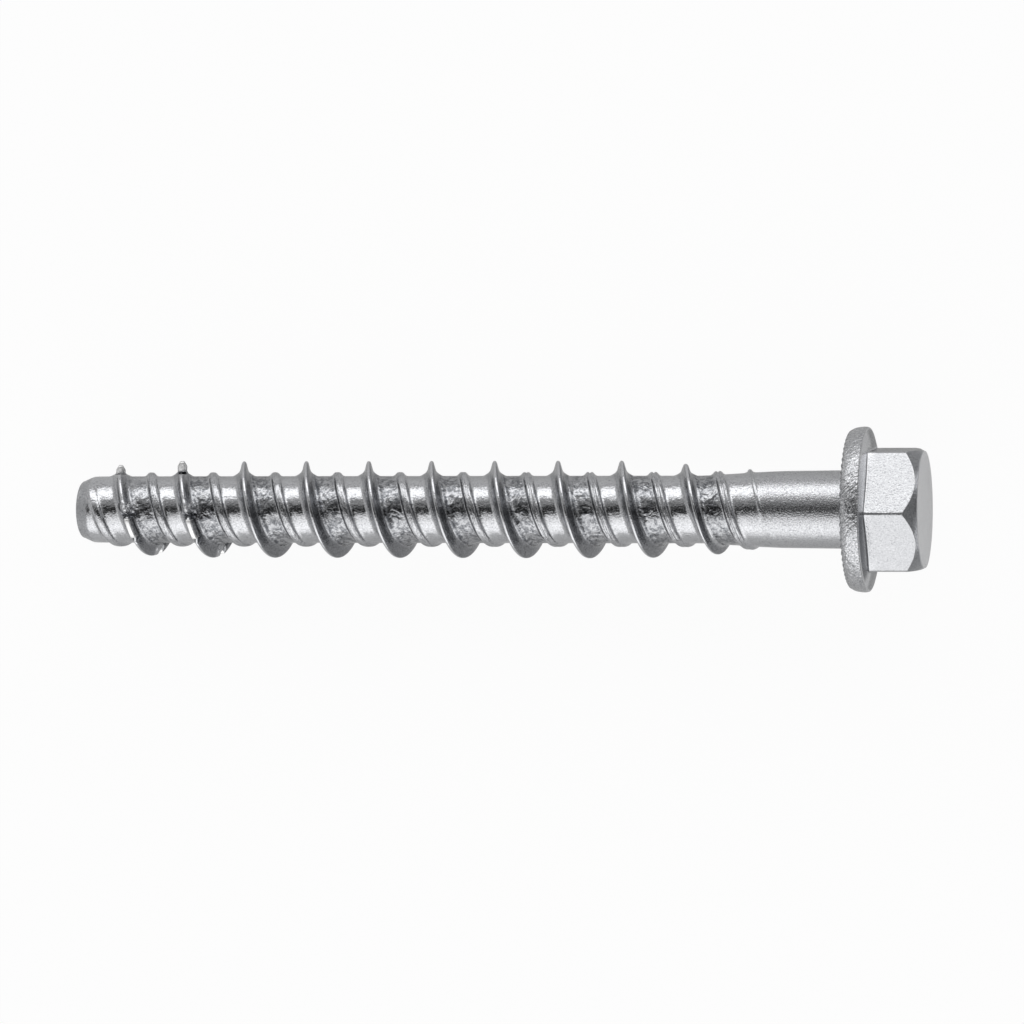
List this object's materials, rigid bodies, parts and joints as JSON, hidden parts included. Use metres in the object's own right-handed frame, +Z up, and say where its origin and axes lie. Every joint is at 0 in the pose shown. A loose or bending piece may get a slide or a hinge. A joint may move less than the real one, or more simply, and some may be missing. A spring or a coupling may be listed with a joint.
{
  "type": "concrete screw",
  "caption": "Concrete screw with a flanged hexagon head, a plain shank, a coarse blade-like thread with a low ridge between its turns, and cutting pins in the crest near the tip.",
  "frame": {"origin": "centre of the box round the screw, on the surface that it lies on", "axes": "+X along the screw towards its head, +Y across it, +Z up; the axis rises towards the head by 2.7 degrees, because the screw lies on its flange's rim and on its thread's crest near the tip"},
  "size_m": [0.1098, 0.0208, 0.0208],
  "materials": {
    "screw_steel": "bright zinc-plated cold-formed steel with rolling marks",
    "pin_steel": "bright hardened steel, ground"
  },
  "bodies": {
    "root": {"screw_body": "screw_steel", "cutting_pin_1": "pin_steel", "cutting_pin_2": "pin_steel", "cutting_pin_3": "pin_steel", "cutting_pin_4": "pin_steel", "cutting_pin_5": "pin_steel", "cutting_pin_6": "pin_steel"}
  },
  "joints": []
}
